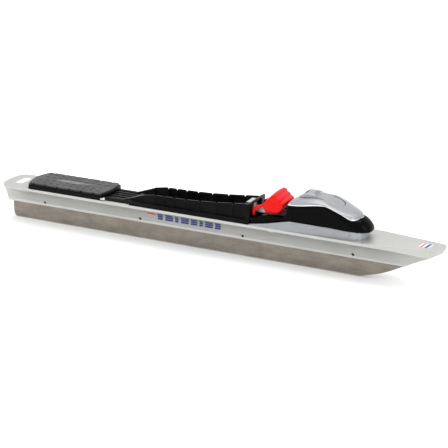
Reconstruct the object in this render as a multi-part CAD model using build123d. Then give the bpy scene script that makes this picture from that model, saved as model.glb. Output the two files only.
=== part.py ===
from build123d import *
import math
import os

# Nordic touring ice skate with an automatic toe-bar binding.
# Millimetres. +X points to the toe, +Z is up, Z = 0 is the blade's running edge,
# X = 0 is the middle of the skate's length and Y = 0 is its plane of symmetry.

os.makedirs("parts", exist_ok=True)

# Profile
skate_length = 500.0
deck = 42.4  # height of the platform's top face
platform_half = 22.55
edge_thickness = 2.8
cove_top_half = 22.0
web_half = 5.4
web_bottom = 21.5
cove_turn = 50.0  # degrees that the cove's arc turns through
lip_half = 5.6
lip_bottom = 19.4
cell_inner = 1.0  # two hollow cells with a web between them for the screws
cell_outer = 4.7
cavity_bottom = 31.0
cavity_top = 39.4
heel_ellipse = 15.8
heel_squareness = 2.7  # 2 would be an ellipse
toe_taper_start = 180.6
toe_tip_half = 11.8
toe_corner = 6.0
slant_angle = 30.0
slant_start = 213.5

# Blade
blade_thickness = 6.0
blade_rear = -246.1
blade_inset = 28.0  # height of the blade's hidden upper edge
slot_gap = 0.05
heel_radius = 9.0
toe_radius = 115.0
toe_tangent = 148.0
blade_end_length = 5.0
pin_positions = (-200.5, -80.5, 39.5, 159.5)
pin_height = 23.2
pin_radius = 1.5
pin_bore = 0.8
pin_half_length = 5.8

# Ridge rail
rail_rear = -87.0
rail_front = 52.8
rail_half = 21.8
rail_shoulder_half = 20.0
rail_floor = 4.0
rail_edge = 2.2
wall_outer = 15.5
wall_thickness = 2.0
wall_tops = ((-72, 10.8), (-60, 12.8), (-40, 13.2), (-24, 13.5), (-8, 14.2), (6, 15.2), (17, 16.1), (31, 17.6),
             (48, 19.5))
notch_positions = (-57.0, -46.5, -35.0, -21.5, -5.0, 13.5, 32.5)
notch_depth = 2.2
notch_half = 1.3
rib_half = 0.6
rib_depth = 0.7
ramp_rear = -95.0
ramp_inner = 11.0
bar_rear = 49.0
bar_front = 53.5
bar_top = 20.6
bar_half = 19.0
bar_window_half = 8.8
bar_window_low = 8.6
bar_window_top = 19.2

# Heel parts
track_rear = -213.0
track_front = -87.6
track_half_base = 19.6
track_half_top = 15.8
track_height = 2.65
plate_rear = -216.0
plate_front = -116.5
plate_half = 22.5
rear_bow = 6.0
front_bow = 3.0
plate_corner = 3.0
plate_clearance = 0.35
plate_top = 5.0
tread_top = 7.0
tread_inset = 1.6

# Spring clip on the heel plate's near side
lock_rear = -127.0
lock_front = -114.5
lock_y0 = -21.6
lock_y1 = -20.3
lock_room_top = 4.1
lock_pin_x = -125.0
lock_pin_h = 1.75
lock_pin_radius = 0.5

# Toe bar seat
seat_bar_x = 44.0
seat_bar_h = 13.4
seat_bar_radius = 2.1
seat_half = 12.6
rivet_x = 33.0
rivet_y = 9.5
rivet_radius = 1.4

# Binding
latch_room_half = 11.0
channel_half = 9.5
post_inner = 9.4
post_outer = 11.4
wedge_tops = ((52.9, 0.4), (76.6, 5.2), (97.0, 10.1), (119.0, 9.8), (140.5, 9.0), (156.0, 8.0), (176.0, 6.9))
seam = 0.05  # gap between parts that are screwed or clipped together
shell_wall = 2.0
cover_edge = ((93.0, 26.0), (107.0, 27.0), (120.0, 29.2), (131.0, 30.4), (136.0, 29.6), (148.0, 24.9),
              (161.0, 18.4))
cover_front = 167.5
button_rear = 103.4
button_front = 147.0
button_half = 9.0
button_gap = 0.5
button_pivot_x = 144.0
button_pivot_h = 22.9
button_pin_radius = 1.25
running_gap = 0.05

# Bumper
bumper_half = 15.0
bumper_arch = 0.8
bumper_back = ((79.0, 12.8), (70.0, 12.8), (67.0, 13.6), (65.1, 18.5), (65.1, 21.6), (74.0, 31.8))
# crown and lower end of each rib's arc
bumper_ribs = (((77.9, 32.5), (79.5, 28.9)), ((82.7, 28.3), (83.5, 25.1)), ((87.2, 23.9), (87.2, 20.6)))
bumper_front = (84.0, 15.8)

# Screws, as places along X on the centre line, except the pair at the sides
ridge_screw_places = (-40.0, 12.0)
track_screw_places = (-190.0, -140.0)
front_screw_place = 139.0
platform_screw_places = ((76.0, 17.6), (76.0, -17.6))
screw_radius = 2.1
stud_top = 3.6
stud_low = -4.4
screw_head_radius = 3.8
screw_head = 2.0


def xz_prism(points, half_width, y_mid=0.0):
    """Polygon given as (x, z), extruded both ways along Y from y_mid."""
    face = make_face(Polyline(*points, close=True))
    solid = extrude(Plane.XZ * face, amount=half_width, both=True)
    return Pos(0, y_mid, 0) * solid


def yz_prism(points, x_start, x_end):
    """Polygon given as (y, z), extruded along X."""
    face = make_face(Polyline(*points, close=True))
    return Pos(x_start, 0, 0) * extrude(Plane.YZ * face, amount=x_end - x_start)


def xy_prism(points, z_start, z_end):
    """Polygon given as (x, y), extruded along Z."""
    face = make_face(Polyline(*points, close=True))
    return Pos(0, 0, z_start) * extrude(face, amount=z_end - z_start)


def block(x0, x1, y0, y1, z0, z1):
    """Box between two corners."""
    middle = Pos((x0 + x1) / 2, (y0 + y1) / 2, (z0 + z1) / 2)
    return middle * Box(x1 - x0, y1 - y0, z1 - z0)


def rod_y(x, z, radius, y0, y1):
    """Cylinder along Y."""
    return Pos(x, (y0 + y1) / 2, z) * Rot(90, 0, 0) * Cylinder(radius, y1 - y0)


def rod_z(x, y, radius, z0, z1):
    """Cylinder along Z."""
    return Pos(x, y, (z0 + z1) / 2) * Cylinder(radius, z1 - z0)


def mirrored(points):
    """Closed outline made from a half outline that starts and ends on the axis side."""
    return list(points) + [(-y, z) for y, z in reversed(points)]


def at_height(points):
    """Points given as (x, height above the deck) in absolute Z."""
    return [(x, deck + h) for x, h in points]


def export(shape, name):
    """Write one named part."""
    shape.label = name
    export_step(shape, f"parts/{name}.step")


def cove_arc_middle():
    """Middle point of the cove's arc, bowed into the metal."""
    y0, z0 = cove_top_half, deck - edge_thickness
    y1, z1 = web_half, web_bottom
    chord = math.hypot(y1 - y0, z1 - z0)
    radius = chord / (2 * math.sin(math.radians(cove_turn / 2)))
    sagitta = radius * (1 - math.cos(math.radians(cove_turn / 2)))
    normal_y, normal_z = (z1 - z0) / chord, -(y1 - y0) / chord
    return ((y0 + y1) / 2 + normal_y * sagitta, (z0 + z1) / 2 + normal_z * sagitta)


def profile_section():
    """Cross section of the extrusion in the YZ plane."""
    edge_low = deck - edge_thickness
    middle_y, middle_z = cove_arc_middle()
    slot_half = blade_thickness / 2 + slot_gap
    edges = []
    for side in (1, -1):
        edges += Polyline((0, deck), (side * platform_half, deck), (side * platform_half, edge_low),
                          (side * cove_top_half, edge_low)).edges()
        edges += ThreePointArc((side * cove_top_half, edge_low), (side * middle_y, middle_z),
                               (side * web_half, web_bottom)).edges()
        edges += Polyline((side * web_half, web_bottom), (side * lip_half, web_bottom - 0.3),
                          (side * lip_half, lip_bottom), (side * slot_half, lip_bottom),
                          (side * slot_half, blade_inset), (0, blade_inset)).edges()
    section = make_face(edges)
    for side in (1, -1):
        cell = Polyline((side * cell_inner, cavity_top), (side * cell_outer, cavity_top),
                        (side * cell_outer, cavity_bottom), (side * cell_inner, cavity_bottom), close=True)
        section -= make_face(cell)
    return section


def slant_cutter():
    """Everything in front of the slanted cut under the toe."""
    reach = 60.0
    rise = reach * math.tan(math.radians(slant_angle))
    start_z = lip_bottom + 0.3
    points = [(slant_start - reach, start_z - rise), (slant_start + reach, start_z + rise),
              (slant_start + 2 * reach, start_z - rise)]
    return points


def heel_tongue(centre):
    """Plan of the plate's heel end, squarer than the ellipse that ends the web."""
    points = []
    for step in range(33):
        turn = math.pi * (step / 32 - 0.5)
        reach = abs(math.cos(turn)) ** (2 / heel_squareness)
        spread = math.copysign(abs(math.sin(turn)) ** (2 / heel_squareness), turn)
        points.append((centre - heel_ellipse * reach, platform_half * spread))
    return make_face(Polyline(*points, close=True))


def aluminium_profile():
    """Extruded runner carrier with rounded heel, tapered toe, pin holes and screw holes."""
    half_length = skate_length / 2
    body = Pos(-half_length, 0, 0) * extrude(Plane.YZ * profile_section(), amount=skate_length)
    heel_centre = -half_length + heel_ellipse
    plan = Pos(heel_centre, 0, 0) * Ellipse(heel_ellipse, platform_half + 0.01)
    plan += Pos((heel_centre + toe_taper_start) / 2, 0, 0) * Rectangle(toe_taper_start - heel_centre,
                                                                       2 * platform_half + 0.02)
    toe = Polyline((toe_taper_start - 1, platform_half + 0.01), (toe_taper_start, platform_half + 0.01),
                   (half_length, toe_tip_half), (half_length, -toe_tip_half),
                   (toe_taper_start, -platform_half - 0.01), (toe_taper_start - 1, -platform_half - 0.01),
                   close=True)
    toe_face = make_face(toe)
    tip_corners = toe_face.vertices().group_by(Axis.X)[-1]
    plan += fillet(tip_corners, toe_corner)
    split = deck - edge_thickness
    web = body & extrude(plan, amount=split)
    plate = body & Pos(0, 0, split) * extrude(plan + heel_tongue(heel_centre), amount=deck)
    body = web + plate
    slant = slant_cutter()
    tip_z = deck - edge_thickness
    front_z = lip_bottom + 0.3 + (half_length + 10 - slant_start) * math.tan(math.radians(slant_angle))
    limit = xz_prism(slant, platform_half * 2) & block(0, half_length + 20, -50, 50, -10, min(tip_z, front_z))
    body -= limit
    for x in pin_positions:
        body -= rod_y(x, pin_height, pin_radius + 0.02, -20, 20)
    for x, y in platform_screw_places:
        body -= rod_z(x, y, screw_radius + 0.3, web_bottom + 8, deck + 1)
    for x in ridge_screw_places + track_screw_places + (front_screw_place,):
        body -= rod_z(x, 0, screw_radius + running_gap, cavity_bottom + 2, deck + 1)
    return body


def blade():
    """Runner: flat running edge, round toe that runs into the slant, rounded heel."""
    slope = math.radians(slant_angle)
    toe_end = (toe_tangent + toe_radius * math.sin(slope), toe_radius * (1 - math.cos(slope)))
    toe_mid = (toe_tangent + toe_radius * math.sin(slope / 2), toe_radius * (1 - math.cos(slope / 2)))
    slant_z = lip_bottom + 0.3
    top_front = slant_start + (blade_inset - slot_gap - slant_z) / math.tan(slope)
    corner = heel_radius * (1 - math.sin(math.radians(45)))
    outline = Line((blade_rear + heel_radius, 0), (toe_tangent, 0)).edges()
    outline += ThreePointArc((toe_tangent, 0), toe_mid, toe_end).edges()
    outline += Polyline(toe_end, (slant_start, slant_z), (top_front, blade_inset - slot_gap),
                        (blade_rear, blade_inset - slot_gap), (blade_rear, heel_radius)).edges()
    outline += ThreePointArc((blade_rear, heel_radius), (blade_rear + corner, corner),
                             (blade_rear + heel_radius, 0)).edges()
    body = extrude(Plane.XZ * make_face(outline), amount=blade_thickness / 2, both=True)
    half = blade_thickness / 2
    plan = Pos(blade_rear + blade_end_length, 0, 0) * Ellipse(blade_end_length, half + 0.01)
    plan += Pos(blade_rear + blade_end_length + 250, 0, 0) * Rectangle(500, blade_thickness + 0.02)
    body = body & extrude(plan, amount=deck)
    for x in pin_positions:
        body -= rod_y(x, pin_height, pin_radius + 0.02, -10, 10)
    return body


def blade_pins():
    """Four roll pins, each a tube with a slit along it."""
    pins = []
    for x in pin_positions:
        pin = rod_y(x, pin_height, pin_radius, -pin_half_length, pin_half_length)
        pin -= rod_y(x, pin_height, pin_bore, -10, 10)
        pin -= block(x - 0.2, x + 0.2, -10, 10, pin_height, pin_height + pin_radius + 1)
        pins.append(pin)
    return Compound(children=pins)


def wall_top(x):
    """Height of the ridge walls above the deck, without the notches."""
    for (x0, h0), (x1, h1) in zip(wall_tops, wall_tops[1:]):
        if x0 <= x <= x1:
            return h0 + (h1 - h0) * (x - x0) / (x1 - x0)
    return wall_tops[-1][1]


def ridge_wall_outline():
    """Side outline of one ridge wall with its V notches."""
    points = [(ramp_rear + 9, rail_floor - 1), (wall_tops[0][0], wall_tops[0][1])]
    marks = [(x, wall_top(x)) for x, _ in wall_tops[1:-1]]
    for x in notch_positions:
        marks += [(x - notch_half, wall_top(x - notch_half)), (x, wall_top(x) - notch_depth),
                  (x + notch_half, wall_top(x + notch_half))]
    points += sorted(marks)
    points += [(bar_rear, wall_tops[-1][1]), (bar_rear + 2, bar_top), (bar_front, bar_top),
               (rail_front, bar_window_low), (rail_front, rail_floor - 1)]
    return at_height(points)


def ridge_rail():
    """Guide rail: sloped base, two notched walls, side ribs, rear ramps and the cross bar."""
    low = deck + seam
    section = mirrored([(rail_half, low), (rail_half, deck + rail_edge),
                        (rail_shoulder_half, deck + rail_floor)])
    body = yz_prism(section, rail_rear, rail_front)
    plan_corner = 4.0
    plan = Pos((rail_rear + rail_front + 20) / 2, 0, 0) * RectangleRounded(rail_front + 20 - rail_rear,
                                                                            2 * rail_half, plan_corner)
    body = body & Pos(0, 0, deck - 1) * extrude(plan, amount=60)
    middle = wall_outer - wall_thickness / 2
    for side in (1, -1):
        body += xz_prism(ridge_wall_outline(), wall_thickness / 2, side * middle)
        ramp = at_height([(ramp_rear, track_height + 0.1), (wall_tops[0][0], wall_tops[0][1]),
                          (wall_tops[0][0], track_height + 0.1)])
        ramp_middle = (ramp_inner + wall_outer) / 2
        body += xz_prism(ramp, (wall_outer - ramp_inner) / 2, side * ramp_middle)
        for x in notch_positions:
            rib = block(x - rib_half, x + rib_half, wall_outer - wall_thickness - rib_depth,
                        wall_outer + rib_depth, deck + rail_floor - 0.5, deck + wall_top(x) - notch_depth)
            body += rib if side > 0 else mirror(rib, Plane.XZ)
    bar = at_height([(bar_rear, rail_floor - 1), (bar_rear, wall_tops[-1][1]), (bar_rear + 2, bar_top),
                     (bar_front, bar_top), (rail_front, bar_window_low), (rail_front, rail_floor - 1)])
    body += xz_prism(bar, bar_half)
    body -= block(bar_rear - 1, bar_front + 1, -bar_window_half, bar_window_half,
                  deck + bar_window_low, deck + bar_window_top)
    for x in ridge_screw_places:
        body -= rod_z(x, 0, screw_radius + running_gap, deck - 1, deck + rail_floor + 1)
    for y in (rivet_y, -rivet_y):
        body -= rod_z(rivet_x, y, rivet_radius + 0.02, deck + 1, deck + rail_floor + 1)
    return body


def heel_track():
    """Low trapezoid track with grooves along it."""
    section = mirrored([(track_half_base, deck + seam), (track_half_top, deck + track_height)])
    body = yz_prism(section, track_rear, track_front)
    groove_floor = deck + track_height - 1.1
    for y0, y1 in ((1.5, 4.5), (8.0, 11.0)):
        body -= block(track_rear - 1, track_front + 1, y0, y1, groove_floor, deck + 10)
        body -= block(track_rear - 1, track_front + 1, -y1, -y0, groove_floor, deck + 10)
    for x in track_screw_places:
        body -= rod_z(x, 0, screw_radius + running_gap, deck - 1, deck + 10)
        body -= rod_z(x, 0, screw_head_radius + 0.3, deck + 0.9, deck + 10)
    return body


def heel_outline(inset):
    """Plan of the heel plate: bowed rear edge, bowed front edge."""
    half = plate_half - inset
    rear, front = plate_rear + inset, plate_front - inset
    outline = Line((rear + rear_bow, -half), (front - front_bow, -half)).edges()
    outline += ThreePointArc((front - front_bow, -half), (front, 0), (front - front_bow, half)).edges()
    outline += Line((front - front_bow, half), (rear + rear_bow, half)).edges()
    outline += ThreePointArc((rear + rear_bow, half), (rear, 0), (rear + rear_bow, -half)).edges()
    face = make_face(outline)
    return fillet(face.vertices(), plate_corner)


def heel_plate():
    """Carrier that straddles the track."""
    low = deck + plate_clearance
    body = Pos(0, 0, low) * extrude(heel_outline(0), amount=plate_top - plate_clearance)
    gap = plate_clearance
    channel = mirrored([(track_half_base + gap + 0.2, deck), (track_half_top + gap, deck + track_height + gap)])
    body -= yz_prism(channel, plate_rear - 5, plate_front + 5)
    room_top = deck + lock_room_top
    body -= block(lock_rear - 0.6, plate_front + 5, lock_y0 - 0.35, lock_y1 + 0.35, deck, room_top)
    body -= rod_y(lock_pin_x, deck + lock_pin_h, lock_pin_radius + 0.01, -plate_half + 0.1, -plate_half + 4.5)
    return body


def heel_lock():
    """Small spring clip under the plate's front edge, on the side edge of the track."""
    low, high = deck + 0.9, deck + 2.5
    body = block(lock_rear, lock_front, lock_y0, lock_y1, low, high)
    body -= rod_y(lock_pin_x, deck + lock_pin_h, lock_pin_radius + running_gap, -30, 0)
    body += block(lock_front - 2.2, lock_front, lock_y0, lock_y1, low, high + 0.9)
    return body


def heel_lock_pin():
    """Pin of the spring clip, pressed into the heel plate."""
    return rod_y(lock_pin_x, deck + lock_pin_h, lock_pin_radius, -plate_half + 0.2, lock_y1 + 0.3)


def heel_tread():
    """Ribbed rubber tread with edge notches and a central spine."""
    low = deck + plate_top + seam
    top = deck + tread_top
    body = Pos(0, 0, low) * extrude(heel_outline(tread_inset), amount=tread_top - plate_top - seam)
    notch_pitch = 15.0
    for index in range(6):
        x = plate_rear + 12 + index * notch_pitch
        for side in (1, -1):
            y = side * (plate_half - tread_inset)
            body -= block(x - 1.3, x + 1.3, y - 1.1, y + 1.1, low - 1, top + 1)
    for row in (6.5, 13.0):
        for index in range(10):
            x = plate_rear + 10 + index * 8.4
            for y in (row, -row):
                body -= block(x, x + 4.4, y - 0.6, y + 0.6, top - 0.8, top + 1)
    return body


def wedge_base():
    """Grey wedge between the platform and the front housing."""
    half_outline = [(52.9, 22.5), (77.0, 22.5), (109.0, 21.6), (140.0, 19.9), (158.0, 18.8), (165.0, 16.6),
                    (169.5, 12.8), (172.2, 7.5), (173.2, 0.0)]
    outline = half_outline + [(x, -y) for x, y in reversed(half_outline[:-1])]
    body = xy_prism(outline, deck + seam, deck + 12)
    side = at_height(list(wedge_tops) + [(176.0, 0), (52.9, 0)])
    body = body & xz_prism(side, 30)
    body -= block(60, 150, -latch_room_half, latch_room_half, deck + 3.5, deck + 20)
    for x, y in platform_screw_places:
        body -= rod_z(x, y, screw_radius + running_gap, deck - 1, deck + stud_top + 0.1)
    body -= rod_z(front_screw_place, 0, screw_radius + running_gap, deck - 1, deck + 20)
    return body


# Stations of the housing: x, base half width, shoulder half width, shoulder height, crest height
hull_stations = (
    (94.0, 19.8, 18.0, 26.0, 28.6),
    (100.0, 19.9, 18.0, 26.3, 32.2),
    (108.0, 19.9, 18.0, 27.1, 34.6),
    (120.0, 19.8, 18.0, 29.2, 35.6),
    (131.0, 19.5, 17.8, 30.4, 34.4),
    (136.0, 19.3, 17.5, 29.6, 33.0),
    (148.0, 18.9, 16.4, 24.9, 28.4),
    (158.0, 17.8, 15.0, 19.4, 24.6),
    (163.0, 16.6, 12.8, 16.8, 22.2),
    (168.0, 14.8, 11.0, 14.5, 19.2),
    (172.5, 11.8, 8.4, 11.9, 15.4),
    (176.0, 8.2, 5.6, 8.9, 11.4),
    (177.6, 5.0, 3.2, 7.2, 8.4),
)


def hull_section(x, base_half, shoulder_half, shoulder, crest, inset):
    """One cross section of the housing at station x."""
    bulge_y = 0.58 * (shoulder_half - inset)
    bulge_z = shoulder + 0.80 * (crest - shoulder) - inset
    right = [(base_half - inset, 3.0), (shoulder_half - inset, shoulder - 0.6 * inset), (bulge_y, bulge_z)]
    outline = right + [(0, crest - inset)] + [(-y, z) for y, z in reversed(right)]
    edges = Polyline(*outline, close=True)
    return Pos(x, 0, deck) * (Plane.YZ * make_face(edges))


def hull(inset):
    """Outer or inner body of the housing and its cover."""
    sections = []
    for x, base_half, shoulder_half, shoulder, crest in hull_stations:
        if inset > 0 and x > 172:
            continue
        sections.append(hull_section(x, base_half, shoulder_half, shoulder, crest, inset))
    return loft(sections, ruled=True)


def under_cover_edge(lift):
    """Region below the cover's edge line, as an outline in XZ."""
    line = [(x, h + lift) for x, h in cover_edge]
    return at_height([(40, -1), (40, cover_edge[0][1] + lift)] + line
                     + [(cover_front, 17.4 + lift), (cover_front, 60), (200, 60), (200, -1)])


def wedge_region(lift):
    """Region above the wedge's top line, as an outline in XZ."""
    line = [(x, h + lift) for x, h in wedge_tops]
    return at_height([(40, 0.4 + lift)] + line + [(200, wedge_tops[-1][1] + lift), (200, 80), (40, 80)])


def front_housing():
    """Black shell of the latch, from the cross bar to the nose."""
    shell = hull(0) - hull(shell_wall)
    shell = shell & xz_prism(under_cover_edge(-seam), 40) & xz_prism(wedge_region(seam), 40)
    rear = at_height([(rail_front + 0.2, 0), (rail_front + 0.2, 7.4), (60.0, 7.4), (66.0, 11.4), (89.0, 11.9),
                      (92.5, 17.0), (94.0, 25.4), (96.5, 25.4), (96.5, 0)])
    rear_block = xz_prism(rear, 19.4) & xz_prism(wedge_region(seam), 40)
    shell += rear_block
    shell -= block(40, 98, -channel_half, channel_half, deck, deck + 14.2)
    inner = hull(shell_wall - 0.2)
    floor = block(96, 151, -20, 20, deck + 10.3, deck + 12.3) & inner
    floor -= block(90, 124.5, -channel_half, channel_half, deck, deck + 20)
    floor -= rod_z(front_screw_place, 0, screw_radius + running_gap, deck - 1, deck + 20)
    shell += floor
    shell += block(124.8, 126.4, -10, 10, deck + 10.3, deck + 17.2)
    for side in (1, -1):
        post = block(button_pivot_x - 4, button_pivot_x + 2.4, post_inner, post_outer, deck + 11, deck + 24.8)
        post -= rod_y(button_pivot_x, deck + button_pivot_h, button_pin_radius, -30, 30)
        shell += post if side > 0 else mirror(post, Plane.XZ)
    return shell


def top_cover():
    """Silver cover with the opening for the button."""
    above = at_height([(x, h) for x, h in cover_edge]
                      + [(cover_front, 17.4), (cover_front, 60), (93.0, 60)])
    shell = (hull(0) - hull(shell_wall)) & xz_prism(above, 40)
    opening = block(button_rear - 1.8, button_front + 1.0, -button_half - button_gap, button_half + button_gap,
                    deck + 15, deck + 60)
    return shell - opening


def release_button():
    """Raised button that turns on a pin near its front end."""
    top = [(button_rear, 31.6), (105.2, 36.2), (108.5, 38.1), (118.0, 37.9), (128.0, 36.1), (142.0, 31.3),
           (button_front, 29.2)]
    outline = at_height(top + [(button_front, 26.8), (141.0, 28.0), (button_rear, 29.2)])
    body = xz_prism(outline, button_half)
    hollow = at_height([(106.4, 26.0), (106.4, 33.6), (110.0, 35.9), (118.0, 35.7), (128.0, 33.9), (139.0, 30.1),
                        (139.0, 26.0)])
    body -= xz_prism(hollow, button_half - 1.8)
    lug = at_height([(button_pivot_x - 2.6, button_pivot_h - 2.6), (button_pivot_x + 2.6, button_pivot_h - 2.6),
                     (button_front, 28.0), (button_pivot_x - 4.0, 28.6)])
    for side in (1, -1):
        body += xz_prism(lug, 1.2, side * 7.6)
        cam = at_height([(107.0, 34.8), (107.0, 13.4), (108.2, 13.4), (114.0, 19.2), (114.0, 36.9), (109.5, 36.6)])
        body += xz_prism(cam, 0.9, side * 5.1)
    body -= rod_y(button_pivot_x, deck + button_pivot_h, button_pin_radius + running_gap, -20, 20)
    return body


def button_pin():
    """Hinge pin of the button."""
    return rod_y(button_pivot_x, deck + button_pivot_h, button_pin_radius - 0.01, -post_outer, post_outer)


def toe_bar_seat():
    """Steel seat with a round trough for the boot's toe bar."""
    outline = at_height([(30.0, 4.1), (30.0, 5.6), (36.0, 11.0), (40.0, 12.4), (42.4, 12.4), (46.0, 13.6),
                         (47.1, 13.6), (47.1, 4.1)])
    body = xz_prism(outline, seat_half)
    body -= rod_y(seat_bar_x, deck + seat_bar_h, seat_bar_radius, -20, 20)
    for y in (rivet_y, -rivet_y):
        body -= rod_z(rivet_x, y, rivet_radius + 0.02, deck, deck + 12)
    return body


def latch_jaw():
    """Steel hook over the toe bar on a flat slide that runs into the housing."""
    outline = at_height([(42.2, 15.9), (42.2, 17.0), (44.0, 18.8), (49.6, 18.8), (50.2, 12.0), (112.0, 12.0),
                         (112.0, 16.4), (113.4, 16.4), (113.4, 10.2), (47.6, 10.2), (47.6, 15.9)])
    body = xz_prism(outline, 7.6)
    for side in (1, -1):
        body -= block(98.0, 112.0, min(side * 3.0, side * 8.0), max(side * 3.0, side * 8.0), deck, deck + 20)
    return body


def helix_spring(radius, wire, turns, length):
    """Compression spring along Z from Z = 0, with ends at wire centre height."""
    pitch = (length - wire) / turns
    path = Helix(pitch=pitch, height=length - wire, radius=radius)
    start = Plane(origin=path @ 0, z_dir=path % 0)
    return Pos(0, 0, wire / 2) * sweep(start * Circle(wire / 2), path=path)


def latch_spring():
    """Spring that pushes the jaw back over the toe bar."""
    spring = helix_spring(2.0, 0.7, 7, 11.2)
    return Pos(113.5, 0, deck + 14.4) * Rot(0, 90, 0) * spring


def button_spring():
    """Spring that lifts the button's rear end."""
    spring = helix_spring(2.4, 0.7, 8, 20.0)
    return Pos(130.0, 0, deck + 12.4) * spring


def seat_rivets():
    """Two rivets that hold the seat to the ridge rail."""
    rivets = []
    for y in (-rivet_y, rivet_y):
        rivets.append(rod_z(rivet_x, y, rivet_radius, deck + 1.0, deck + 7.6))
    return Compound(children=rivets)


def flexor_outline(lift):
    """Side outline of the bumper: three ribs that step down towards the toe."""
    back = at_height([(x, h + (lift if h > 15 else 0.0)) for x, h in bumper_back])
    edges = Polyline(*back).edges()
    start = back[-1]
    for crown, stop in bumper_ribs:
        (crown_x, crown_z), (stop_x, stop_z) = at_height([crown, stop])
        edges += ThreePointArc(start, (crown_x, crown_z + lift), (stop_x, stop_z + lift)).edges()
        start = (stop_x, stop_z + lift)
    front_x, front_z = at_height([bumper_front])[0]
    edges += Polyline(start, (front_x, front_z + lift), back[0]).edges()
    return make_face(edges)


def flexor():
    """Rubber bumper: three lateral ribs on one block, arched across the skate."""
    half = bumper_half
    sections = []
    for share in (-1.0, -0.62, -0.3, 0.0, 0.3, 0.62, 1.0):
        lift = bumper_arch * (1 - share * share)
        sections.append(Pos(0, share * half, 0) * (Plane.XZ * flexor_outline(lift)))
    return loft(sections, ruled=True)


def flexor_hooks():
    """Two rubber hooks that clip the bumper around the ends of the cross bar."""
    outline = at_height([(65.0, 21.2), (61.0, 19.8), (57.5, 18.3), (54.6, 16.6), (53.9, 15.0), (54.3, 8.8),
                         (55.4, 8.0), (56.6, 8.8), (56.5, 14.0), (58.8, 15.4), (62.4, 16.9), (65.0, 18.6)])
    hooks = []
    for side in (1, -1):
        hooks.append(xz_prism(outline, 1.3, side * 13.5))
    return Compound(children=hooks)


def pan_screw(x, y, seat_h, tip_h):
    """Pan-head screw with a cross recess, seated at seat_h above the deck."""
    body = rod_z(x, y, screw_radius, deck + tip_h, deck + seat_h + 0.5)
    head = rod_z(x, y, screw_head_radius, deck + seat_h, deck + seat_h + screw_head)
    rim = head.edges().group_by(Axis.Z)[-1]
    head = fillet(rim, 0.8)
    top = deck + seat_h + screw_head
    for turn in (0, 90):
        recess = Rot(0, 0, turn) * Box(3.6, 0.8, 1.6)
        head -= Pos(x, y, top) * recess
    return body + head


def socket_stud(x, y):
    """Headless screw with a six-sided socket in its lower end."""
    socket = extrude(RegularPolygon(1.2, 6), amount=2.2)
    body = rod_z(x, y, screw_radius, deck + stud_low, deck + stud_top)
    return body - Pos(x, y, deck + stud_low - 0.2) * socket


def screw_group(places, seat_h, tip_h):
    """Several screws as one part."""
    return Compound(children=[pan_screw(x, y, seat_h, tip_h) for x, y in places])


def sticker(x0, x1, y_half, shift):
    """Thin label on the platform."""
    thickness = 0.12
    low = deck + 0.01
    points = [(x0, -y_half), (x1, -y_half), (x1 + shift, y_half), (x0 + shift, y_half)]
    return xy_prism(points, low, low + thickness)


export(aluminium_profile(), "aluminium_profile")
export(blade(), "blade")
export(blade_pins(), "blade_pins")
export(ridge_rail(), "ridge_rail")
export(heel_track(), "heel_track")
export(heel_plate(), "heel_plate")
export(heel_tread(), "heel_tread")
export(heel_lock(), "heel_lock")
export(heel_lock_pin(), "heel_lock_pin")
export(wedge_base(), "wedge_base")
export(front_housing(), "front_housing")
export(top_cover(), "top_cover")
export(release_button(), "release_button")
export(button_pin(), "button_pin")
export(toe_bar_seat(), "toe_bar_seat")
export(latch_jaw(), "latch_jaw")
export(latch_spring(), "latch_spring")
export(button_spring(), "button_spring")
export(seat_rivets(), "seat_rivets")
export(flexor(), "flexor")
export(flexor_hooks(), "flexor_hooks")
studs = [socket_stud(x, y) for x, y in platform_screw_places]
export(Compound(children=studs), "platform_screws")
export(screw_group([(x, 0) for x in ridge_screw_places], rail_floor + 0.02, -2.6), "ridge_screws")
export(screw_group([(x, 0) for x in track_screw_places], 0.95, -2.6), "track_screws")
export(screw_group([(front_screw_place, 0)], 12.4, -2.6), "front_screw")
export(sticker(-236.0, -228.0, 9.0, 0.8), "heel_sticker")
export(sticker(225.4, 235.4, 5.4, 1.6), "toe_sticker")
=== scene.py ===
import math

import bmesh
import bpy
from mathutils import Matrix, Vector


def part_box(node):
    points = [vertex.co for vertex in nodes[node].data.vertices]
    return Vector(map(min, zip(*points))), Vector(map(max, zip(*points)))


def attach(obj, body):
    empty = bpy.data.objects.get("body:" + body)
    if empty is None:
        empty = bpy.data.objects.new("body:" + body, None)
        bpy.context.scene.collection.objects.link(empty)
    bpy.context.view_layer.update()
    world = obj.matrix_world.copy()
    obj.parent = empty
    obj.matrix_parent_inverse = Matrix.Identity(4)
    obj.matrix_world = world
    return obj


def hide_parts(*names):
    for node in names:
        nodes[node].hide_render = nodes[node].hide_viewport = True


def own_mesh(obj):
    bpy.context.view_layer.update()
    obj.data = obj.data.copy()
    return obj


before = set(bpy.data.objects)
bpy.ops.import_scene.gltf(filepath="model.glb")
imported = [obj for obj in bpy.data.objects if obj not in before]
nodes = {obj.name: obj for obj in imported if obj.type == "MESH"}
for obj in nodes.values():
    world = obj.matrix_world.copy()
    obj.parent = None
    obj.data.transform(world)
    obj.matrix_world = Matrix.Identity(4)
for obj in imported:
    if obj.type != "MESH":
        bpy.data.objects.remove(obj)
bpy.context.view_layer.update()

scene = bpy.context.scene
mm = 0.001
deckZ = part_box("aluminium_profile")[1][2]  # top face of the platform
deck = deckZ / mm


def place(x, y, height):
    return Vector((x * mm, y * mm, deckZ + height * mm))  # millimetres, height above the platform


# shader wiring

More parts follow.
